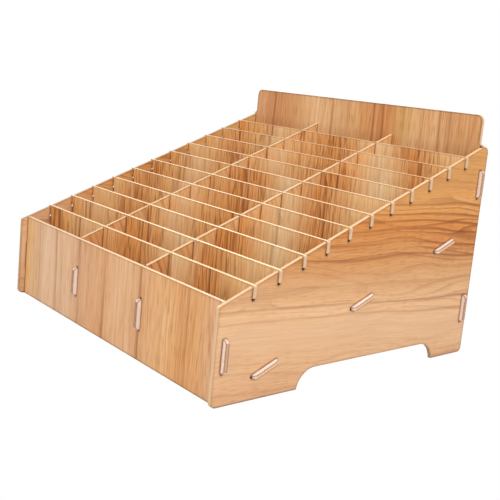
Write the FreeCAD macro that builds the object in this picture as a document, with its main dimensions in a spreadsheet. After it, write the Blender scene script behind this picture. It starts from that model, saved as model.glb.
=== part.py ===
"""Desk organizer of slotted boards: two sloped side panels, a front, a back, a sloping shelf and an
egg-crate lattice of dividers that split it into small upright cells.

Frame: +X to the right seen from the front, +Y to the rear, +Z up, the origin on the floor under the
middle of the case. Every board is one PartDesign body, padded equally to both sides of its own
middle plane, and every size comes from the sheet named sizes (millimetres and degrees).
"""
import FreeCAD, Part
import math
import os
import Sketcher

SIZES = [
    ("board_thickness", 3.0, "every panel, shelf and divider is cut from this board"),
    ("case_width", 320.0, "outer face to outer face of the side panels"),
    ("case_depth", 291.0, "side panels from front edge to rear edge"),
    ("column_count", 3, "equal columns of cells across the width"),
    ("row_count", 12, "equal rows of cells from front to back"),
    ("end_margin", 6.0, "side panel in front of the front panel and behind the back panel"),
    ("front_height", 74.0, "side panel's height at its front edge"),
    ("top_slope_angle", 22.4, "rise of the top edge and of the shelf towards the rear"),
    ("back_height", 219.0, "top of the back panel"),
    ("back_top_width", 311.5, "back panel where it stands clear above the side panels"),
    ("shoulder_reach", 2.5, "back panel's shoulder over the side panels' top edges"),
    ("shoulder_lip", 1.0, "upright edge of that shoulder"),
    ("shoulder_radius", 3.0, "hollow curve from the shoulder up to the back panel's side"),
    ("back_corner_radius", 6.0, "back panel's top corners"),
    ("top_front_radius", 1.8, "side panel's corner at the top of its front edge"),
    ("top_rear_radius", 5.5, "side panel's corner at the top of its rear edge"),
    ("foot_radius", 4.5, "side panel's two corners on the floor"),
    ("front_foot_length", 82.0, "side panel's foot in front of the arch"),
    ("rear_foot_length", 44.0, "side panel's foot behind the arch"),
    ("arch_height", 15.5, "clear height under the arch between the feet"),
    ("arch_radius", 18.0, "rounded ends of the arch"),
    ("shelf_depth", 71.0, "shelf's middle plane below the top line, straight down"),
    ("tab_length", 25.0, "every tab, along the board's edge"),
    ("tab_protrusion", 4.2, "every tab, out of the face that it passes through"),
    ("tab_radius", 3.2, "every tab's outer corners"),
    ("tab_clearance", 0.2, "round a tab in its mortise, on each side"),
    ("front_tab_height", 37.8, "middle of the front panel's tabs and of its mortises"),
    ("back_lower_tab_height", 42.8, "middle of the back panel's lower tabs"),
    ("back_upper_tab_drop", 33.25, "from the top line to the middle of the back's upper tabs"),
    ("shelf_tab_count", 3, "tabs on each side of the shelf"),
    ("shelf_tab_spacing", 106.0, "spacing of the shelf's tabs along the slope"),
    ("ear_depth", 9.0, "seat of a cross divider's ears below the top line"),
    ("ear_protrusion", 1.0, "ears beyond the side panels' outer faces"),
    ("ear_radius", 1.5, "ears' outer top corners"),
    ("divider_rise", 0.5, "cross dividers' top edge above the top line"),
    ("divider_end_gap", 1.5, "cross divider's body to each side panel"),
    ("slot_clearance", 0.25, "beside a board in the open slot that it drops into, on each side"),
    ("lap_depth", 34.0, "crossing of the dividers below the top line"),
    ("lap_gap", 0.5, "between crossing dividers where their slots end"),
    ("shelf_gap", 0.5, "between the dividers' bottom edges and the shelf"),
    ("shelf_end_gap", 0.3, "between the shelf's ends and the front and back panels"),
    ("relief_diameter", 3.0, "round relief hole at the end of a mortise and under an open slot"),
    ("mortise_relief_reach", 1.2, "relief hole beyond the end of a mortise"),
    ("slot_relief_reach", 2.3, "relief hole beyond the seat of an open slot"),
    ("slot_relief_lead", 0.4, "side panel's relief hole in front of its slot's middle"),
]

# Lengths and heights that follow from the sheet, as expressions
INNER_HALF_WIDTH = "(sizes.case_width / 2 - sizes.board_thickness)"
HALF_BOARD = "(sizes.board_thickness / 2)"
HALF_DEPTH = "(sizes.case_depth / 2)"
HALF_ROWS = f"({HALF_DEPTH} - sizes.end_margin - {HALF_BOARD})"
ROW_PITCH = f"(2 * {HALF_ROWS} / sizes.row_count)"
COLUMN_PITCH = f"((2 * {INNER_HALF_WIDTH} + sizes.board_thickness) / sizes.column_count)"
SLOPED_ROW_PITCH = f"({ROW_PITCH} / cos(sizes.top_slope_angle))"
FIRST_DIVIDER = f"({ROW_PITCH} - {HALF_ROWS})"
SIDE_TAB_TIP = "(sizes.case_width / 2 + sizes.tab_protrusion)"
MORTISE_WIDTH = "(sizes.board_thickness + 2 * sizes.tab_clearance)"
MORTISE_LENGTH = "(sizes.tab_length + 2 * sizes.tab_clearance)"
MORTISE_RELIEF = f"({MORTISE_LENGTH} / 2 + sizes.mortise_relief_reach - sizes.relief_diameter / 2)"
SLOT_WIDTH = "(sizes.board_thickness + 2 * sizes.slot_clearance)"
SHELF_TOP_DEPTH = f"(sizes.shelf_depth - {HALF_BOARD} / cos(sizes.top_slope_angle))"
DIVIDER_DEPTH = f"({SHELF_TOP_DEPTH} - sizes.shelf_gap)"
CROSS_DEPTH = f"({DIVIDER_DEPTH} - {HALF_BOARD} * tan(sizes.top_slope_angle))"


def top_line(y):
    """Height of the sloped top line of the side panels at y."""
    return f"(sizes.front_height + ({y} + {HALF_DEPTH}) * tan(sizes.top_slope_angle))"


BACK_UPPER_TAB = f"({top_line(HALF_ROWS)} - sizes.back_upper_tab_drop)"


def add_sheet(document):
    sheet = document.addObject("Spreadsheet::Sheet", "sizes")
    for row, (alias, value, meaning) in enumerate(SIZES, start=1):
        sheet.set(f"A{row}", alias)
        sheet.set(f"B{row}", str(value))
        sheet.set(f"C{row}", meaning)
        sheet.setAlias(f"B{row}", alias)
    document.recompute()
    return sheet


# Sketches

def add_sketch(body, plane_role, name, slope_height=None):
    """Sketch on one of the body's origin planes; slope_height tilts it to the slope at that height."""
    sketch = body.newObject("Sketcher::SketchObject", f"{body.Name}_{name}")
    plane = next(item for item in body.Origin.OriginFeatures if item.Role == plane_role)
    sketch.AttachmentSupport = [(plane, "")]
    sketch.MapMode = "FlatFace"
    if slope_height:
        tilt = FreeCAD.Rotation(FreeCAD.Vector(0, 0, 1), 1)
        sketch.AttachmentOffset = FreeCAD.Placement(FreeCAD.Vector(), tilt)
        sketch.setExpression("AttachmentOffset.Base.y", slope_height)
        sketch.setExpression("AttachmentOffset.Rotation.Angle", "sizes.top_slope_angle")
    return sketch


def number(sketch, expression):
    value = sketch.evalExpression(expression)
    return float(getattr(value, "Value", value))


def bind(sketch, kind, geometry, position, expression):
    """Tie a point's X or Y, or a circle's size, to an expression of the sheet."""
    where = (geometry,) if position is None else (geometry, position)
    index = sketch.addConstraint(Sketcher.Constraint(kind, *where, number(sketch, expression)))
    sketch.setExpression(f"Constraints[{index}]", expression)


def place_point(sketch, geometry, position, x, y):
    bind(sketch, "DistanceX", geometry, position, x)
    bind(sketch, "DistanceY", geometry, position, y)


def corner_arc(before, corner, after, radius):
    """Arc that rounds a corner, its points on the two sides, and whether it turns to the left."""
    back = (before - corner).normalize()
    onward = (after - corner).normalize()
    half_angle = back.getAngle(onward) / 2
    start = corner + back * (radius / math.tan(half_angle))
    end = corner + onward * (radius / math.tan(half_angle))
    middle = corner + (back + onward).normalize() * (radius / math.sin(half_angle))
    turns_left = (corner - before).cross(after - corner).z > 0
    first, last = (start, end) if turns_left else (end, start)
    angles = [math.atan2(point.y - middle.y, point.x - middle.x) for point in (first, last)]
    circle = Part.Circle(middle, FreeCAD.Vector(0, 0, 1), radius)
    return Part.ArcOfCircle(circle, *angles), start, end, turns_left


def add_outline(sketch, corners):
    """Closed outline through corners (x, y) or (x, y, radius), all of them expressions."""
    count = len(corners)
    points = [FreeCAD.Vector(number(sketch, c[0]), number(sketch, c[1]), 0) for c in corners]
    arcs = {}
    for i, corner in enumerate(corners):
        if len(corner) == 3:
            radius = number(sketch, corner[2])
            arcs[i] = corner_arc(points[i - 1], points[i], points[(i + 1) % count], radius)
    lines = []
    for i in range(count):
        after = (i + 1) % count
        start = arcs[i][2] if i in arcs else points[i]
        end = arcs[after][1] if after in arcs else points[after]
        lines.append(sketch.addGeometry(Part.LineSegment(start, end)))
    for i, corner in enumerate(corners):
        incoming, outgoing = lines[i - 1], lines[i]
        if i not in arcs:
            sketch.addConstraint(Sketcher.Constraint("Coincident", incoming, 2, outgoing, 1))
            place_point(sketch, outgoing, 1, corner[0], corner[1])
            continue
        arc = sketch.addGeometry(arcs[i][0])
        first, last = (1, 2) if arcs[i][3] else (2, 1)
        apex = sketch.addGeometry(Part.Point(points[i]), True)
        sketch.addConstraint([
            Sketcher.Constraint("Tangent", incoming, 2, arc, first),
            Sketcher.Constraint("Tangent", arc, last, outgoing, 1),
            Sketcher.Constraint("PointOnObject", apex, 1, incoming),
            Sketcher.Constraint("PointOnObject", apex, 1, outgoing),
        ])
        place_point(sketch, apex, 1, corner[0], corner[1])
        bind(sketch, "Radius", arc, None, corner[2])


def add_rectangle(sketch, x, y, width, height):
    """Rectangle about its middle."""
    left, right = f"({x} - {width} / 2)", f"({x} + {width} / 2)"
    low, high = f"({y} - {height} / 2)", f"({y} + {height} / 2)"
    add_outline(sketch, [(left, low), (right, low), (right, high), (left, high)])


def add_relief(sketch, x, y):
    """Relief hole at the closed end of a slot."""
    centre = FreeCAD.Vector(number(sketch, x), number(sketch, y), 0)
    radius = number(sketch, "sizes.relief_diameter / 2")
    circle = sketch.addGeometry(Part.Circle(centre, FreeCAD.Vector(0, 0, 1), radius))
    place_point(sketch, circle, 3, x, y)
    bind(sketch, "Diameter", circle, None, "sizes.relief_diameter")


# Features

def add_body(document, label):
    body = document.addObject("PartDesign::Body", label)
    body.Label = label
    return body


def pad_board(body, sketch):
    pad = body.newObject("PartDesign::Pad", f"{body.Name}_board")
    pad.Profile = sketch
    pad.SideType = "Symmetric"
    pad.setExpression("Length", "sizes.board_thickness")


def cut_through(body, sketch, name):
    pocket = body.newObject("PartDesign::Pocket", f"{body.Name}_{name}")
    pocket.Profile = sketch
    pocket.Type = "ThroughAll"
    pocket.SideType = "Symmetric"
    return pocket


def repeat(body, cuts, name, axis_sketch, spacing, count):
    """Repeat cuts along the X axis of a sketch of the same body."""
    pattern = body.newObject("PartDesign::LinearPattern", f"{body.Name}_{name}")
    pattern.Originals = cuts
    pattern.Direction = (axis_sketch, ["H_Axis"])
    pattern.Mode = "Spacing"
    pattern.setExpression("Offset", spacing)
    pattern.setExpression("Occurrences", count)
    body.Tip = pattern


def tab(shoulder, tip, middle, rising):
    """Corners of a tab that stands out of an upright stretch of outline, drawn upwards or down."""
    ends = [f"({middle} - sizes.tab_length / 2)", f"({middle} + sizes.tab_length / 2)"]
    if not rising:
        ends.reverse()
    first, last = ends
    return [
        (shoulder, first),
        (tip, first, "sizes.tab_radius"),
        (tip, last, "sizes.tab_radius"),
        (shoulder, last),
    ]


def cut_mortises(body, plane_role, name, centres, relief_ends):
    """Upright mortises through the board, with relief holes at the lower end (-) or the upper (+)."""
    mortises = add_sketch(body, plane_role, f"{name}_outline")
    reliefs = add_sketch(body, plane_role, f"{name}_relief_outline")
    for x, z in centres:
        add_rectangle(mortises, x, z, MORTISE_WIDTH, MORTISE_LENGTH)
        for end in relief_ends:
            add_relief(reliefs, x, f"({z} {end} {MORTISE_RELIEF})")
    cut_through(body, mortises, name)
    return cut_through(body, reliefs, f"{name}_relief")


def column_lines():
    """X of the middle of each long divider."""
    count = round(number(SHEET, "sizes.column_count"))
    return [f"({k} - sizes.column_count / 2) * {COLUMN_PITCH}" for k in range(1, count)]


# Boards

def side_panel(document, label, side):
    """Sloped side on two feet, with a mortise for every tab and an open slot for every divider."""
    body = add_body(document, label)
    outline = add_sketch(body, "YZ_Plane", "outline")
    add_outline(outline, [
        (f"-{HALF_DEPTH}", "0", "sizes.foot_radius"),
        (HALF_DEPTH, "0", "sizes.foot_radius"),
        (HALF_DEPTH, top_line(HALF_DEPTH), "sizes.top_rear_radius"),
        (f"-{HALF_DEPTH}", "sizes.front_height", "sizes.top_front_radius"),
    ])
    pad_board(body, outline)

    arch = add_sketch(body, "YZ_Plane", "arch_outline")
    arch_front = f"(sizes.front_foot_length - {HALF_DEPTH})"
    arch_rear = f"({HALF_DEPTH} - sizes.rear_foot_length)"
    add_outline(arch, [
        (arch_front, "-sizes.arch_radius"),
        (arch_rear, "-sizes.arch_radius"),
        (arch_rear, "sizes.arch_height", "sizes.arch_radius"),
        (arch_front, "sizes.arch_height", "sizes.arch_radius"),
    ])
    cut_through(body, arch, "arch")

    cut_mortises(body, "YZ_Plane", "panel_mortises", [
        (f"-{HALF_ROWS}", "sizes.front_tab_height"),
        (HALF_ROWS, "sizes.back_lower_tab_height"),
        (HALF_ROWS, BACK_UPPER_TAB),
    ], "-")

    # The shelf's mortises lie along the slope, so their sketches are tilted to it
    shelf_height = f"{top_line('0')} - sizes.shelf_depth"
    first = "(-sizes.shelf_tab_spacing * (sizes.shelf_tab_count - 1) / 2)"
    mortise = add_sketch(body, "YZ_Plane", "shelf_mortise_outline", shelf_height)
    add_rectangle(mortise, first, "0", MORTISE_LENGTH, MORTISE_WIDTH)
    relief = add_sketch(body, "YZ_Plane", "shelf_relief_outline", shelf_height)
    add_relief(relief, f"({first} - {MORTISE_RELIEF})", "0")
    cuts = [cut_through(body, mortise, "shelf_mortise"), cut_through(body, relief, "shelf_relief")]
    repeat(body, cuts, "shelf_mortises", mortise, "sizes.shelf_tab_spacing",
           "sizes.shelf_tab_count")

    seat = f"({top_line(FIRST_DIVIDER)} - sizes.ear_depth)"
    cuts = open_slot(body, FIRST_DIVIDER, seat, "sizes.ear_depth", "sizes.slot_relief_lead")
    repeat(body, cuts, "divider_slots", mortise, SLOPED_ROW_PITCH, "sizes.row_count - 1")

    body.setExpression("Placement.Base.x", f"{side} * (sizes.case_width / 2 - {HALF_BOARD})")
    return body


def open_slot(body, y, seat, depth, relief_lead):
    """Slot down to the seat height from above the top edge, with a relief hole under it."""
    slot = add_sketch(body, "YZ_Plane", "slot_outline")
    left, right = f"({y} - {SLOT_WIDTH} / 2)", f"({y} + {SLOT_WIDTH} / 2)"
    mouth = f"({seat} + {depth} + sizes.board_thickness)"
    add_outline(slot, [(left, seat), (right, seat), (right, mouth), (left, mouth)])
    relief = add_sketch(body, "YZ_Plane", "slot_relief_outline")
    relief_height = f"({seat} - sizes.slot_relief_reach + sizes.relief_diameter / 2)"
    add_relief(relief, f"({y} - {relief_lead})", relief_height)
    return [cut_through(body, slot, "slot"), cut_through(body, relief, "slot_relief")]


def front_panel(document):
    """Upright front between the side panels, up to their top line, with the long dividers' mortises."""
    body = add_body(document, "front_panel")
    outline = add_sketch(body, "XZ_Plane", "outline")
    top = top_line(f"(sizes.end_margin - {HALF_DEPTH})")
    left, left_tip = f"-{INNER_HALF_WIDTH}", f"-{SIDE_TAB_TIP}"
    add_outline(outline, [
        (left, "0"),
        (INNER_HALF_WIDTH, "0"),
        *tab(INNER_HALF_WIDTH, SIDE_TAB_TIP, "sizes.front_tab_height", True),
        (INNER_HALF_WIDTH, top),
        (left, top),
        *tab(left, left_tip, "sizes.front_tab_height", False),
    ])
    pad_board(body, outline)
    centres = [(x, "sizes.front_tab_height") for x in column_lines()]
    cut_mortises(body, "XZ_Plane", "mortises", centres, "-+")
    body.setExpression("Placement.Base.y", f"-{HALF_ROWS}")
    return body


def back_panel(document):
    """Tall back between the side panels, with shoulders over their top edges and rounded corners."""
    body = add_body(document, "back_panel")
    outline = add_sketch(body, "XZ_Plane", "outline")
    shoulder = top_line(f"({HALF_ROWS} + {HALF_BOARD})")
    lip = f"({shoulder} + sizes.shoulder_lip)"
    heights = ["sizes.back_lower_tab_height", BACK_UPPER_TAB]
    left, left_tip = f"-{INNER_HALF_WIDTH}", f"-{SIDE_TAB_TIP}"
    reach = f"({INNER_HALF_WIDTH} + sizes.shoulder_reach)"
    upper = "(sizes.back_top_width / 2)"
    add_outline(outline, [
        (left, "0"),
        (INNER_HALF_WIDTH, "0"),
        *tab(INNER_HALF_WIDTH, SIDE_TAB_TIP, heights[0], True),
        *tab(INNER_HALF_WIDTH, SIDE_TAB_TIP, heights[1], True),
        (INNER_HALF_WIDTH, shoulder),
        (reach, shoulder),
        (reach, lip),
        (upper, lip, "sizes.shoulder_radius"),
        (upper, "sizes.back_height", "sizes.back_corner_radius"),
        (f"-{upper}", "sizes.back_height", "sizes.back_corner_radius"),
        (f"-{upper}", lip, "sizes.shoulder_radius"),
        (f"-{reach}", lip),
        (f"-{reach}", shoulder),
        (left, shoulder),
        *tab(left, left_tip, heights[1], False),
        *tab(left, left_tip, heights[0], False),
    ])
    pad_board(body, outline)
    centres = [(x, BACK_UPPER_TAB) for x in column_lines()]
    cut_mortises(body, "XZ_Plane", "mortises", centres, "-+")
    body.setExpression("Placement.Base.y", HALF_ROWS)
    return body


def bottom_shelf(document):
    """Floor of the cells, tilted to the slope, on tabs through both side panels."""
    body = add_body(document, "bottom_shelf")
    outline = add_sketch(body, "XY_Plane", "outline")
    run = f"({HALF_ROWS} - {HALF_BOARD} * (1 + sin(sizes.top_slope_angle)) - sizes.shelf_end_gap)"
    rear = f"({run} / cos(sizes.top_slope_angle))"
    left, left_tip = f"-{INNER_HALF_WIDTH}", f"-{SIDE_TAB_TIP}"
    count = round(number(SHEET, "sizes.shelf_tab_count"))
    middles = [f"(({k} - (sizes.shelf_tab_count - 1) / 2) * sizes.shelf_tab_spacing)"
               for k in range(count)]
    corners = [(left, f"-{rear}"), (INNER_HALF_WIDTH, f"-{rear}")]
    for middle in middles:
        corners += tab(INNER_HALF_WIDTH, SIDE_TAB_TIP, middle, True)
    corners += [(INNER_HALF_WIDTH, rear), (left, rear)]
    for middle in reversed(middles):
        corners += tab(left, left_tip, middle, False)
    add_outline(outline, corners)
    pad_board(body, outline)
    body.Placement.Rotation = FreeCAD.Rotation(FreeCAD.Vector(1, 0, 0), 1)
    body.setExpression("Placement.Rotation.Angle", "sizes.top_slope_angle")
    body.setExpression("Placement.Base.z", f"{top_line('0')} - sizes.shelf_depth")
    return body


def long_divider(document, label, x):
    """Front-to-back divider, tabbed through the front and back, slotted from above at every row."""
    body = add_body(document, label)
    outline = add_sketch(body, "YZ_Plane", "outline")
    rear = f"({HALF_ROWS} - {HALF_BOARD})"
    front = f"-{rear}"
    rear_tip = f"({HALF_ROWS} + {HALF_BOARD} + sizes.tab_protrusion)"
    front_tip = f"-{rear_tip}"
    add_outline(outline, [
        (front, f"({top_line(front)} - {DIVIDER_DEPTH})"),
        (rear, f"({top_line(rear)} - {DIVIDER_DEPTH})"),
        *tab(rear, rear_tip, BACK_UPPER_TAB, True),
        (rear, top_line(rear)),
        (front, top_line(front)),
        *tab(front, front_tip, "sizes.front_tab_height", False),
    ])
    pad_board(body, outline)
    slope = add_sketch(body, "YZ_Plane", "slope_line", top_line("0"))
    slope.addGeometry(Part.LineSegment(FreeCAD.Vector(), FreeCAD.Vector(1, 0, 0)), True)
    seat = f"({top_line(FIRST_DIVIDER)} - sizes.lap_depth - sizes.lap_gap)"
    cuts = open_slot(body, FIRST_DIVIDER, seat, "(sizes.lap_depth + sizes.lap_gap)", "0")
    repeat(body, cuts, "lap_slots", slope, SLOPED_ROW_PITCH, "sizes.row_count - 1")
    body.setExpression("Placement.Base.x", x)
    return body


def cross_divider(document, label, row):
    """Side-to-side divider that hangs by its ears in the side panels' slots and lifts straight out."""
    body = add_body(document, label)
    outline = add_sketch(body, "XZ_Plane", "outline")
    half_width = f"({INNER_HALF_WIDTH} - sizes.divider_end_gap)"
    ear_tip = "(sizes.case_width / 2 + sizes.ear_protrusion)"
    bottom, seat, top = f"-{CROSS_DEPTH}", "-sizes.ear_depth", "sizes.divider_rise"
    add_outline(outline, [
        (f"-{half_width}", bottom),
        (half_width, bottom),
        (half_width, seat),
        (ear_tip, seat),
        (ear_tip, top, "sizes.ear_radius"),
        (f"-{ear_tip}", top, "sizes.ear_radius"),
        (f"-{ear_tip}", seat),
        (f"-{half_width}", seat),
    ])
    pad_board(body, outline)

    first = f"((1 - sizes.column_count / 2) * {COLUMN_PITCH})"
    left, right = f"({first} - {SLOT_WIDTH} / 2)", f"({first} + {SLOT_WIDTH} / 2)"
    mouth, lap = f"(-{CROSS_DEPTH} - sizes.board_thickness)", "-sizes.lap_depth"
    slot = add_sketch(body, "XZ_Plane", "slot_outline")
    add_outline(slot, [(left, mouth), (right, mouth), (right, lap), (left, lap)])
    cuts = [cut_through(body, slot, "slot")]
    repeat(body, cuts, "lap_slots", slot, COLUMN_PITCH, "sizes.column_count - 1")

    y = f"({row} * {ROW_PITCH} - {HALF_ROWS})"
    body.setExpression("Placement.Base.y", y)
    body.setExpression("Placement.Base.z", top_line(y))
    return body


# Checks and files

def check(document, boards):
    """Every object is computed, every board is one valid solid and every cut removed something."""
    failed = [item.Name for item in document.Objects if {"Invalid", "Error"} & set(item.State)]
    if failed:
        raise RuntimeError(f"not computed: {failed}")
    for board in boards:
        if board.Shape.isNull() or not board.Shape.isValid() or len(board.Shape.Solids) != 1:
            raise RuntimeError(f"{board.Label} is not one valid solid")
        volume = math.inf
        for feature in board.Group:
            if feature.isDerivedFrom("PartDesign::Feature"):
                if feature.Shape.Volume >= volume:
                    raise RuntimeError(f"{feature.Name} removed nothing")
                volume = feature.Shape.Volume


document = FreeCAD.newDocument("desk_organizer")
SHEET = add_sheet(document)
boards = [
    side_panel(document, "side_panel_left", -1),
    side_panel(document, "side_panel_right", 1),
    front_panel(document),
    back_panel(document),
    bottom_shelf(document),
]
for place, line in enumerate(column_lines(), start=1):
    boards.append(long_divider(document, f"long_divider_{place}", line))
for row in range(1, round(number(SHEET, "sizes.row_count"))):
    boards.append(cross_divider(document, f"cross_divider_{row:02d}", row))
document.recompute()
check(document, boards)

os.makedirs("parts", exist_ok=True)
for board in boards:
    board.Shape.exportStep(f"parts/{board.Label}.step")
    box = board.Shape.BoundBox
    print(f"{board.Label}: {box.XMin:.2f} {box.YMin:.2f} {box.ZMin:.2f} to "
          f"{box.XMax:.2f} {box.YMax:.2f} {box.ZMax:.2f}, {board.Shape.Volume:.0f} mm3")
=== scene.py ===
from math import radians

import bpy
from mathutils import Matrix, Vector


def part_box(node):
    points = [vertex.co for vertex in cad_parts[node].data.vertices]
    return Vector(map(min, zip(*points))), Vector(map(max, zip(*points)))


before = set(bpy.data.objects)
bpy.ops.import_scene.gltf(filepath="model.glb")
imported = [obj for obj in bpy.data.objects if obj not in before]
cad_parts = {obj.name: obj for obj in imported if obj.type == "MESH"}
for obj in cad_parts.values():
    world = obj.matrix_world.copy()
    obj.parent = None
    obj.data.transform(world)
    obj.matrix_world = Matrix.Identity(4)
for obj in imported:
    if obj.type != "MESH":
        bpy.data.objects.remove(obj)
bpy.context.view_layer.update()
bpy.ops.object.select_all(action="DESELECT")
print("loaded", len(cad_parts), "boards")


def linearColor(hexColor):
    channels = [int(hexColor[start:start + 2], 16) / 255 for start in (1, 3, 5)]
    linear = [c / 12.92 if c <= 0.04045 else ((c + 0.055) / 1.055) ** 2.4 for c in channels]
    return [*linear, 1.0]


def addNode(tree, kind, settings={}, inputs={}):
    node = tree.nodes.new(kind)
    for name, value in settings.items():
        setattr(node, name, value)
    for name, value in inputs.items():
        if isinstance(value, bpy.types.NodeSocket):
            tree.links.new(value, node.inputs[name])
        else:
            node.inputs[name].default_value = value
    return node


# Wood-print film on fibreboard: a satin paper film with printed light oak grain on both faces, and
# bare milled edges, which are cream and dull. Every board has its own stretch of the print.
filmFinish = {
    "roughness": (0.46, 0.60),  # satin melamine paper, duller along the printed pores
    "dullSpan": (0.40, 0.65),  # noise levels of those pores
    "emboss": (0.2, 0.00006),  # strength, and depth in metres, of the pressed pores
    "printStep": 300.0,  # change of print per metre through a board, so that its faces differ
    "tintSpan": (0.3, 0.7),  # noise levels between the darkest and the palest tint
    "poreSpan": (0.57, 0.70),  # noise levels between no pore and a full one
    "lineReach": (1.6, 0.6),  # line widths on a growth line's soft side and on its sharp side
    "rawEdge": "#E4C29A",  # milled fibreboard
    "rawSpeck": "#D2A87C",
    "rawGrit": 0.0011,  # metres, fibre clumps in the milled edge
    "arris": "#80502E",  # cut line of the film along every edge
    "arrisReach": (0.0030, 0.0018),  # on the panels, and on the tabs and ears
    "arrisTurn": (0.997, 0.95),  # cosines of the rounding where that line starts and is full
    "gap": "#200800",  # painted shade, dark brown, in narrow joints, relief holes and inside corners
    # how far around a surface point the painted shade looks for occluding parts, in metres
    "gapReach": 0.0028,
    "gapShade": (0.64, 0.46),  # open share of the surroundings where the painted shade starts and is full
    "faceFrom": 0.9,  # cosine from which a surface is one of the two faces
    "endSpan": (0.85, 0.97),  # cosines between a tab's rim and its flat end
}


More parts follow.
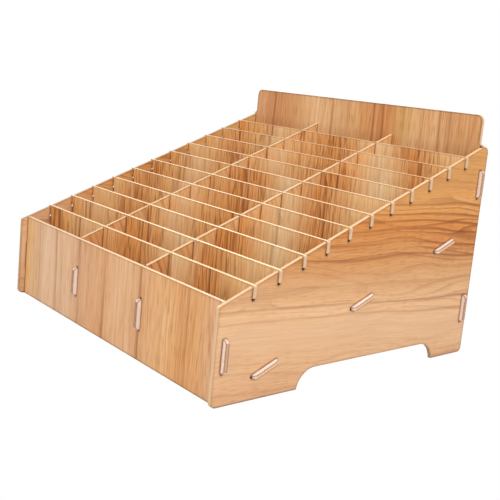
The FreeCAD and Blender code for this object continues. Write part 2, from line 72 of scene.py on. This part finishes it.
def printedBoard(name, look):
    finish = filmFinish
    material = bpy.data.materials.new(name)
    material.use_nodes = True
    tree = material.node_tree
    tree.nodes.clear()
    coords = addNode(tree, "ShaderNodeTexCoord")
    place = addNode(tree, "ShaderNodeSeparateXYZ", {}, {0: coords.outputs["Object"]})
    across, along, through = [place.outputs[look[way]] for way in ("across", "along", "through")]

    # each face of each board has its own stretch of the print
    stretch = addNode(tree, "ShaderNodeMath", {"operation": "MULTIPLY_ADD"}, {
        0: through, 1: finish["printStep"], 2: look["seed"]})

    # the grain runs a little askew and wanders from side to side
    tilted = addNode(tree, "ShaderNodeMath", {"operation": "MULTIPLY_ADD"}, {
        0: along, 1: look["tilt"], 2: across})
    straight = addNode(tree, "ShaderNodeCombineXYZ", {}, {
        0: tilted.outputs[0], 1: along, 2: stretch.outputs[0]})
    bends = addNode(tree, "ShaderNodeMapping", {}, {
        "Vector": straight.outputs[0], "Scale": (1 / look["bend"][0], 1 / look["bend"][1], 1.0)})
    bend = addNode(tree, "ShaderNodeTexNoise", {}, {
        "Vector": bends.outputs[0], "Scale": 1.0, "Detail": 2.0, "Roughness": 0.4})
    centred = addNode(tree, "ShaderNodeMath", {"operation": "SUBTRACT"}, {
        0: bend.outputs[0], 1: 0.5})
    bent = addNode(tree, "ShaderNodeMath", {"operation": "MULTIPLY_ADD"}, {
        0: centred.outputs[0], 1: look["wander"], 2: tilted.outputs[0]})
    grain = addNode(tree, "ShaderNodeCombineXYZ", {}, {
        0: bent.outputs[0], 1: along, 2: stretch.outputs[0]})
    patterns = {}
    for pattern, (width, length, detail) in look["patterns"].items():
        scaled = addNode(tree, "ShaderNodeMapping", {}, {
            "Vector": grain.outputs[0], "Scale": (1 / width, 1 / length, 1.0)})
        patterns[pattern] = addNode(tree, "ShaderNodeTexNoise", {}, {
            "Vector": scaled.outputs[0], "Scale": 1.0, "Detail": detail, "Roughness": 0.6})

    # broad tone across the board, and the places of its dark growth lines
    low, high = look["tones"][0][0], look["tones"][-1][0]
    slide = look.get("slide", 0.0)
    spread = addNode(tree, "ShaderNodeMapRange", {}, {
        "Value": bent.outputs[0], "From Min": low - slide, "From Max": high - slide})
    ramps = {"tones": [], "inks": list(look["inks"]), "lines": [(low, 0.0), (high, 0.0)]}
    for position, hexColor in look["tones"]:
        ramps["tones"].append((position, linearColor(hexColor)))
    softReach, sharpReach = [look["lineWidth"] * reach for reach in finish["lineReach"]]
    for position, strength in look["lines"]:  # a sharp dark edge that fades to one side
        ramps["lines"] += [(position - softReach, 0.0), (position, strength),
                           (position + sharpReach, 0.0)]
    for ramp, stops in ramps.items():
        node = addNode(tree, "ShaderNodeValToRGB", {}, {0: spread.outputs[0]})
        elements = node.color_ramp.elements
        for index, (position, color) in enumerate(sorted(stops)):
            step = (position - low) / (high - low)
            stop = elements[index] if index < 2 else elements.new(step)
            stop.position = step
            stop.color = color if ramp == "tones" else (color, color, color, 1.0)
        ramps[ramp] = node

    # soft bands, streaks and hair-fine fibres: more ink is darker and redder
    film = ramps["tones"].outputs[0]
    for pattern, depth in look["depths"].items():
        level = addNode(tree, "ShaderNodeMapRange", {}, {
            "Value": patterns[pattern].outputs[0], "From Min": finish["tintSpan"][0],
            "From Max": finish["tintSpan"][1], "To Min": 1 + depth, "To Max": 1 - depth})
        film = addNode(tree, "ShaderNodeGamma", {}, {
            0: film, 1: level.outputs[0]}).outputs[0]

    # dark growth lines come and go along the board; rings lie side by side, pushed about by a long
    # soft swell
    fade = addNode(tree, "ShaderNodeMapRange", {"interpolation_type": "SMOOTHSTEP"}, {
        "Value": along, "From Min": look["fade"][0], "From Max": look["fade"][1],
        "To Min": look["fade"][2]})
    patchLevel = addNode(tree, "ShaderNodeMapRange", {}, {
        "Value": patterns["patches"].outputs[0], "From Min": look["patchLevels"][0],
        "From Max": look["patchLevels"][1], "To Max": fade.outputs[0]})
    lineAmount = addNode(tree, "ShaderNodeMath", {"operation": "MULTIPLY"}, {
        0: ramps["lines"].outputs[0], 1: patchLevel.outputs[0]})
    evenly = addNode(tree, "ShaderNodeMath", {"operation": "DIVIDE"}, {
        0: bent.outputs[0], 1: look["ringSpacing"]})
    swell = addNode(tree, "ShaderNodeMath", {"operation": "MULTIPLY_ADD"}, {
        0: patterns["rings"].outputs[0], 1: look["ringSwell"], 2: evenly.outputs[0]})
    ringStep = addNode(tree, "ShaderNodeMath", {"operation": "FRACT"}, {0: swell.outputs[0]})
    ringEdge = addNode(tree, "ShaderNodeMapRange", {}, {
        "Value": ringStep.outputs[0], "From Min": look["ringFrom"], "From Max": 1.0,
        "To Max": look["ringStrength"]})
    ringInk = addNode(tree, "ShaderNodeMath", {"operation": "MULTIPLY"}, {
        0: ringEdge.outputs[0], 1: ramps["inks"].outputs[0]})
    ringAmount = addNode(tree, "ShaderNodeMath", {"operation": "MULTIPLY"}, {
        0: ringInk.outputs[0], 1: patchLevel.outputs[0]})
    pore = addNode(tree, "ShaderNodeMapRange", {}, {
        "Value": patterns["pores"].outputs[0], "From Min": finish["poreSpan"][0],
        "From Max": finish["poreSpan"][1], "To Max": look["poreStrength"]})
    poreAmount = addNode(tree, "ShaderNodeMath", {"operation": "MULTIPLY"}, {
        0: pore.outputs[0], 1: ramps["inks"].outputs[0]})
    for amount, ink in ((lineAmount, "lineInk"), (ringAmount, "lineInk"), (poreAmount, "poreInk")):
        film = addNode(tree, "ShaderNodeMix", {"data_type": "RGBA"}, {
            0: amount.outputs[0], 6: film, 7: linearColor(look[ink])}).outputs[2]

    # bare milled edges, wherever the surface isn't one of the two faces
    grit = addNode(tree, "ShaderNodeTexNoise", {}, {
        "Vector": coords.outputs["Object"], "Scale": 1 / finish["rawGrit"], "Detail": 2.0})
    raw = addNode(tree, "ShaderNodeMix", {"data_type": "RGBA"}, {
        0: grit.outputs[0], 6: linearColor(look.get("rawEdge", finish["rawEdge"])),
        7: linearColor(look.get("rawSpeck", finish["rawSpeck"]))})
    normal = addNode(tree, "ShaderNodeSeparateXYZ", {}, {0: coords.outputs["Normal"]})
    facing = addNode(tree, "ShaderNodeMath", {"operation": "ABSOLUTE"}, {
        0: normal.outputs[look["through"]]})
    isFace = addNode(tree, "ShaderNodeMath", {"operation": "GREATER_THAN"}, {
        0: facing.outputs[0], 1: finish["faceFrom"]})
    surface = addNode(tree, "ShaderNodeMix", {"data_type": "RGBA"}, {
        0: isFace.outputs[0], 6: raw.outputs[2], 7: film})

    # tabs and ears that stand proud of another board, and their flat ends: their faces are paled
    # as a painted highlight, and their ends get a darker raw colour as painted shade
    reach = addNode(tree, "ShaderNodeMath", {"operation": "ABSOLUTE"}, {
        0: place.outputs[look["proudWay"]]})
    isProud = addNode(tree, "ShaderNodeMath", {"operation": "GREATER_THAN"}, {
        0: reach.outputs[0], 1: look["proudFrom"]})
    endFacing = addNode(tree, "ShaderNodeMath", {"operation": "ABSOLUTE"}, {
        0: normal.outputs[look["proudWay"]]})
    isEnd = addNode(tree, "ShaderNodeMapRange", {}, {
        "Value": endFacing.outputs[0], "From Min": finish["endSpan"][0],
        "From Max": finish["endSpan"][1]})
    # painted highlight on the proud faces, and raw colour darkened by painted shade on their ends
    proud = addNode(tree, "ShaderNodeMix", {"data_type": "RGBA"}, {
        0: isEnd.outputs[0], 6: linearColor(look["proudFilm"]),
        7: linearColor(look["proudEnd"])})
    surface = addNode(tree, "ShaderNodeMix", {"data_type": "RGBA"}, {
        0: isProud.outputs[0], 6: surface.outputs[2], 7: proud.outputs[2]})

    # the cut line along every edge, and painted shade in joints, holes and inside corners
    arrisReach = addNode(tree, "ShaderNodeMapRange", {}, {
        "Value": isProud.outputs[0], "To Min": finish["arrisReach"][0],
        "To Max": finish["arrisReach"][1]})
    rounded = addNode(tree, "ShaderNodeBevel", {"samples": 4}, {"Radius": arrisReach.outputs[0]})
    geometry = addNode(tree, "ShaderNodeNewGeometry")
    turn = addNode(tree, "ShaderNodeVectorMath", {"operation": "DOT_PRODUCT"}, {
        0: rounded.outputs[0], 1: geometry.outputs["True Normal"]})
    arrisLevel = addNode(tree, "ShaderNodeMapRange", {}, {
        "Value": isProud.outputs[0], "To Min": look["arrisStrength"],
        "To Max": look["proudArris"]})
    arrisEdge = addNode(tree, "ShaderNodeMapRange", {}, {
        "Value": turn.outputs["Value"], "From Min": finish["arrisTurn"][0],
        "From Max": finish["arrisTurn"][1], "To Max": arrisLevel.outputs[0]})
    hasArris = addNode(tree, "ShaderNodeMath", {"operation": "MAXIMUM"}, {
        0: isFace.outputs[0], 1: isProud.outputs[0]})
    arrisAmount = addNode(tree, "ShaderNodeMath", {"operation": "MULTIPLY"}, {
        0: arrisEdge.outputs[0], 1: hasArris.outputs[0]})
    lined = addNode(tree, "ShaderNodeMix", {"data_type": "RGBA"}, {
        0: arrisAmount.outputs[0], 6: surface.outputs[2], 7: linearColor(finish["arris"])})
    # ambient occlusion lays painted shade into joints, relief holes, inside corners and round the
    # foot of tabs
    shadeOcclusion = addNode(tree, "ShaderNodeAmbientOcclusion", {"samples": 8}, {
        "Distance": finish["gapReach"]})
    paintedShadeAmount = addNode(tree, "ShaderNodeMapRange", {}, {
        "Value": shadeOcclusion.outputs["AO"], "From Min": finish["gapShade"][0],
        "From Max": finish["gapShade"][1], "To Max": look["gapStrength"]})
    color = addNode(tree, "ShaderNodeMix", {"data_type": "RGBA"}, {
        0: paintedShadeAmount.outputs[0], 6: lined.outputs[2], 7: linearColor(finish["gap"])})

    dullness = addNode(tree, "ShaderNodeMapRange", {}, {
        "Value": patterns["pores"].outputs[0], "From Min": finish["dullSpan"][0],
        "From Max": finish["dullSpan"][1], "To Min": finish["roughness"][0],
        "To Max": finish["roughness"][1]})
    bump = addNode(tree, "ShaderNodeBump", {"invert": True}, {
        "Strength": finish["emboss"][0], "Distance": finish["emboss"][1],
        "Height": patterns["pores"].outputs[0]})
    shader = addNode(tree, "ShaderNodeBsdfPrincipled", {}, {
        "Base Color": color.outputs[2], "Roughness": dullness.outputs[0],
        "Normal": bump.outputs[0]})
    addNode(tree, "ShaderNodeOutputMaterial", {}, {"Surface": shader.outputs[0]})
    return material


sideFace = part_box("side_panel_right")[1].x
frontFace = -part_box("front_panel")[0].y

# Places and sizes below are in metres, and pattern sizes are (width, length, detail). Real print
# fibres are 0.3 mm wide and pores 0.2 mm: both are drawn about three to six times wider, so that
# they show.
proudGap = 0.0001  # a tab counts as proud this far past the face that it comes through

# Side panels: the print runs from front to back, pale low down and orange-brown above
sideLook = {
    "across": "Z", "along": "Y", "through": "X", "seed": 3.0,
    "proudWay": "X", "proudFrom": 1.0,  # no tab of its own is proud to the side
    "proudFilm": "#EAD6CA", "proudEnd": "#D9B38E",
    "tilt": 0.05, "bend": (0.06, 0.16), "wander": 0.020,
    "tones": (
        (-0.010, "#CE9C71"), (0.020, "#D4A77C"), (0.040, "#D4A981"), (0.058, "#DAAD80"),
        (0.078, "#CB9A6A"), (0.095, "#C68B52"), (0.125, "#C98039"), (0.145, "#D39754"),
        (0.165, "#C58A4C"), (0.210, "#CC9555")),
    "inks": ((-0.010, 0.6), (0.020, 0.35), (0.035, 0.1), (0.050, 0.15), (0.060, 0.5),
             (0.075, 0.35), (0.088, 0.45), (0.100, 1.0), (0.135, 1.0), (0.155, 0.4),
             (0.210, 0.15)),
    "lines": ((0.053, 0.5), (0.063, 0.7), (0.079, 0.3), (0.098, 0.9), (0.104, 0.6), (0.109, 1.0),
              (0.121, 1.0), (0.129, 1.0), (0.136, 0.7), (0.146, 0.8)),
    "lineWidth": 0.0015,
    "patterns": {
        "bands": (0.007, 0.30, 1.0), "streaks": (0.0026, 0.11, 1.0),
        "fibers": (0.0008, 0.030, 0.0), "pores": (0.0007, 0.010, 0.0),
        "patches": (0.010, 0.16, 1.0), "rings": (0.028, 0.20, 1.0)},
    "depths": {"bands": 0.03, "streaks": 0.04, "fibers": 0.06},
    "patchLevels": (0.28, 0.42), "fade": (0.00, 0.14, 0.55),
    "ringSpacing": 0.008, "ringSwell": 6.0, "ringFrom": 0.64, "ringStrength": 0.8,
    "poreStrength": 0.45, "lineInk": "#803600", "poreInk": "#9C5A14",
    "arrisStrength": 0.6, "proudArris": 1.0, "gapStrength": 0.9,
}

# Front panel: upright grain in broad soft bands
frontLook = {
    "across": "X", "along": "Z", "through": "Y", "seed": 11.0,
    "proudWay": "X", "proudFrom": sideFace + proudGap, "proudFilm": "#EAD6CA",
    "proudEnd": "#BC9874",
    "tilt": 0.02, "bend": (0.05, 0.12), "wander": 0.006,
    "tones": (
        (-0.170, "#DDAC73"), (-0.150, "#DDAC73"), (-0.128, "#DBB087"), (-0.108, "#E2B893"),
        (-0.090, "#DCB088"), (-0.068, "#DFB38B"), (-0.046, "#D3A075"), (-0.010, "#D89F6E"),
        (0.012, "#DDAA7C"), (0.030, "#E1B081"), (0.050, "#D9A475"), (0.088, "#E2AD74"),
        (0.112, "#DEA166"), (0.135, "#DBA167"), (0.170, "#E5BA9C")),
    "inks": ((-0.170, 0.5), (0.020, 0.6), (0.060, 0.9), (0.170, 1.0)),
    "lines": ((-0.126, 0.35), (-0.092, 0.5), (-0.049, 0.8), (-0.028, 0.4), (-0.004, 0.7),
              (0.053, 0.8), (0.112, 0.3), (0.118, 0.6)),
    "lineWidth": 0.0028, "rawEdge": "#F4D6B2", "rawSpeck": "#E2BE96",
    "patterns": {
        "bands": (0.008, 0.30, 1.0), "streaks": (0.0032, 0.12, 1.0),
        "fibers": (0.0013, 0.06, 0.0), "pores": (0.0012, 0.016, 0.0),
        "patches": (0.020, 0.15, 1.0), "rings": (0.040, 0.25, 1.0)},
    "depths": {"bands": 0.05, "streaks": 0.06, "fibers": 0.10},
    "patchLevels": (0.35, 0.55), "fade": (0.0, 0.1, 1.0),
    "ringSpacing": 0.010, "ringSwell": 5.0, "ringFrom": 0.5, "ringStrength": 0.3,
    "poreStrength": 0.35, "lineInk": "#9A5A10", "poreInk": "#A2640E",
    "arrisStrength": 0.5, "proudArris": 1.0, "gapStrength": 0.9,
}

# Back panel: upright grain with darker bands
backLook = {
    **frontLook, "seed": 17.0,
    "tones": (
        (-0.170, "#CF9665"), (-0.148, "#CF9665"), (-0.110, "#C98A57"), (-0.090, "#D09763"),
        (-0.068, "#DFAD7B"), (-0.050, "#E2B685"), (-0.010, "#D09E6C"), (0.010, "#D7A26A"),
        (0.030, "#CF8F59"), (0.050, "#C6874D"), (0.072, "#CDA066"), (0.092, "#DCAC7A"),
        (0.128, "#CC9764"), (0.170, "#CC9761")),
    "inks": ((-0.170, 0.7), (-0.060, 0.7), (0.000, 1.0), (0.050, 1.0), (0.080, 0.7),
             (0.120, 1.0), (0.170, 0.8)),
    "lines": ((-0.120, 0.8), (-0.110, 0.6), (-0.028, 0.6), (-0.004, 0.5), (0.031, 1.0),
              (0.043, 0.8), (0.094, 0.5), (0.114, 0.8), (0.126, 0.6)),
    "lineWidth": 0.0018, "rawEdge": "#D8B48E", "rawSpeck": "#C69C70",
    "poreStrength": 0.4, "lineInk": "#8E4A00", "arrisStrength": 0.9,
}

# Cross dividers: upright grain, more streaked than the panels. Each starts its print elsewhere and
# slides it sideways by one of five steps.
crossLook = {
    **frontLook, "seed": 23.0, "seedStep": 2.3, "slideStep": 0.023,
    "proudFilm": "#D2B490", "proudEnd": "#CCAA88",
    "rawEdge": "#FFE4BC", "rawSpeck": "#F2D0A4",
    "tones": (
        (-0.170, "#E7B578"), (-0.125, "#DC9957"), (-0.095, "#E6AC6A"), (-0.055, "#E8BB87"),
        (-0.020, "#E4AA6C"), (0.020, "#DA954F"), (0.050, "#E4A565"), (0.085, "#E8C592"),
        (0.125, "#D6904C"), (0.170, "#EAB97D")),
    "inks": ((-0.170, 0.3), (-0.125, 1.0), (-0.090, 0.8), (-0.060, 0.2), (-0.030, 0.4),
             (0.010, 1.0), (0.045, 1.0), (0.070, 0.2), (0.100, 0.3), (0.130, 1.0),
             (0.170, 0.3)),
    "lines": ((-0.122, 0.8), (-0.112, 1.0), (-0.079, 0.7), (-0.071, 1.0), (-0.020, 0.7),
              (0.024, 0.7), (0.033, 1.0), (0.082, 0.5), (0.134, 0.9)),
    "lineWidth": 0.0018, "depths": {"bands": 0.05, "streaks": 0.06, "fibers": 0.12},
    "ringSpacing": 0.009, "ringSwell": 9.0, "ringFrom": 0.66, "ringStrength": 0.8,
    "poreStrength": 0.75, "lineInk": "#7E3400", "poreInk": "#904A04",
    "arrisStrength": 0.4, "proudArris": 0.1, "gapStrength": 0.6,
}

# Long dividers: upright grain, square to their sloped top edge
longLook = {
    **sideLook, "across": "Y", "along": "Z", "seed": 41.0, "seedStep": 3.7,
    "proudWay": "Y", "proudFrom": frontFace + proudGap, "proudEnd": "#B38A62",
    "tilt": 0.4,
    "tones": ((-0.150, "#C98A54"), (-0.085, "#D0965E"), (-0.020, "#D8A870"), (0.250, "#DAA872")),
    "inks": ((-0.150, 1.0), (-0.070, 0.8), (0.250, 0.7)),
    "lines": ((-0.113, 1.0), (-0.105, 0.8), (-0.096, 1.0), (-0.060, 0.6), (-0.020, 0.5),
              (0.030, 0.7), (0.090, 0.5), (0.140, 0.8)),
    "fade": (0.0, 0.1, 1.0),
    "ringStrength": 0.5, "gapStrength": 0.6,
}

# Bottom shelf: grain from front to back
shelfLook = {
    **frontLook, "seed": 53.0, "along": "Y", "through": "Z", "proudEnd": "#D9B38E",
    "tones": ((-0.170, "#D29A62"), (0.000, "#CC9058"), (0.170, "#D6A06A")),
}

# The left panel is more evenly tinted, and its raw edges are browner as painted shade
looks = {
    "side_panel_left": {
        **sideLook, "seed": 5.0, "rawEdge": "#C39A70", "rawSpeck": "#AE8258",
        "tones": ((-0.010, "#CC9C74"), (0.040, "#D8AE87"), (0.078, "#D0A173"), (0.095, "#D09960"),
                  (0.125, "#C99052"), (0.210, "#CFA264"))},
    "side_panel_right": sideLook,
    "front_panel": frontLook,
    "back_panel": backLook,
    "bottom_shelf": shelfLook,
}
for name in sorted(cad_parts):
    if name.startswith("long_divider"):
        number = int(name[-1])
        looks[name] = {**longLook, "seed": longLook["seed"] + longLook["seedStep"] * number}
    elif name.startswith("cross_divider"):
        number = int(name[-2:])
        looks[name] = {
            **crossLook, "seed": crossLook["seed"] + crossLook["seedStep"] * number,
            "slide": crossLook["slideStep"] * ((number + 2) % 5 - 2)}
        if number == 1:  # browner edges than on the others
            looks[name] |= {"rawEdge": "#F8D6A6", "rawSpeck": "#EAC698"}

for name, look in looks.items():
    material = printedBoard(name + "_film", look)
    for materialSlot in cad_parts[name].material_slots:
        materialSlot.material = material
print("films on", len(looks), "boards")


# Table of matt white paper, burnt out to plain white for the eye as on a light table
tableLook = {"size": 12.0, "paper": "#C8C8C8", "seen": 1.0}
bpy.ops.mesh.primitive_plane_add(size=tableLook["size"], location=(0, 0, 0))
table = bpy.context.object
table.name = "table"
paper = bpy.data.materials.new("white_paper")
paper.use_nodes = True
tree = paper.node_tree
tree.nodes.clear()
rays = addNode(tree, "ShaderNodeLightPath")
matt = addNode(tree, "ShaderNodeBsdfDiffuse", {}, {"Color": linearColor(tableLook["paper"])})
white = addNode(tree, "ShaderNodeEmission", {}, {"Strength": tableLook["seen"]})
sheet = addNode(tree, "ShaderNodeMixShader", {}, {
    0: rays.outputs["Is Camera Ray"], 1: matt.outputs[0], 2: white.outputs[0]})
addNode(tree, "ShaderNodeOutputMaterial", {}, {"Surface": sheet.outputs[0]})
table.data.materials.append(paper)

# Studio light: a white room, and large soft lamps (watts) above, in front, to the right and behind
roomLight = {"seen": 1.0, "cast": 0.42}
world = bpy.data.worlds.new("room")
bpy.context.scene.world = world
world.use_nodes = True
tree = world.node_tree
tree.nodes.clear()
rays = addNode(tree, "ShaderNodeLightPath")
level = addNode(tree, "ShaderNodeMapRange", {}, {
    "Value": rays.outputs["Is Camera Ray"], "To Min": roomLight["cast"],
    "To Max": roomLight["seen"]})
room = addNode(tree, "ShaderNodeBackground", {}, {
    "Color": (1, 1, 1, 1), "Strength": level.outputs[0]})
addNode(tree, "ShaderNodeOutputWorld", {}, {"Surface": room.outputs[0]})

lampSize, lampAim = 1.0, Vector((0, 0, 0.1))
lamps = {
    "topLamp": {"place": (0.2, -0.35, 1.6), "power": 12},
    "frontLamp": {"place": (0.2, -1.6, 1.1), "power": 14},
    "rightLamp": {"place": (1.6, -0.2, 0.9), "power": 20},
    "backLamp": {"place": (-1.3, 1.4, 0.7), "power": 14},
}
for name, lamp in lamps.items():
    data = bpy.data.lights.new(name, "AREA")
    data.shape = "SQUARE"
    data.size = lampSize
    data.energy = lamp["power"]
    light = bpy.data.objects.new(name, data)
    bpy.context.scene.collection.objects.link(light)
    light.location = lamp["place"]
    light.rotation_euler = (light.location - lampAim).to_track_quat("Z", "Y").to_euler()
print("lit by", len(lamps), "lamps and the room")

# Camera: beside the right front corner, a little above the case. Lens in millimetres, turn in
# degrees.
cameraPlace = {
    "place": (0.5839, -0.4854, 0.2308), "turn": (80.925, -5.729, 49.256),
    "lens": 58.85, "shift": (-0.0397, -0.0785), "near": 0.01}
cameraData = bpy.data.cameras.new("camera")
cameraData.lens = cameraPlace["lens"]
cameraData.shift_x, cameraData.shift_y = cameraPlace["shift"]
cameraData.clip_start = cameraPlace["near"]
camera = bpy.data.objects.new("camera", cameraData)
bpy.context.scene.collection.objects.link(camera)
camera.location = cameraPlace["place"]
camera.rotation_euler = [radians(angle) for angle in cameraPlace["turn"]]
bpy.context.scene.camera = camera
bpy.context.scene.view_settings.view_transform = "Standard"
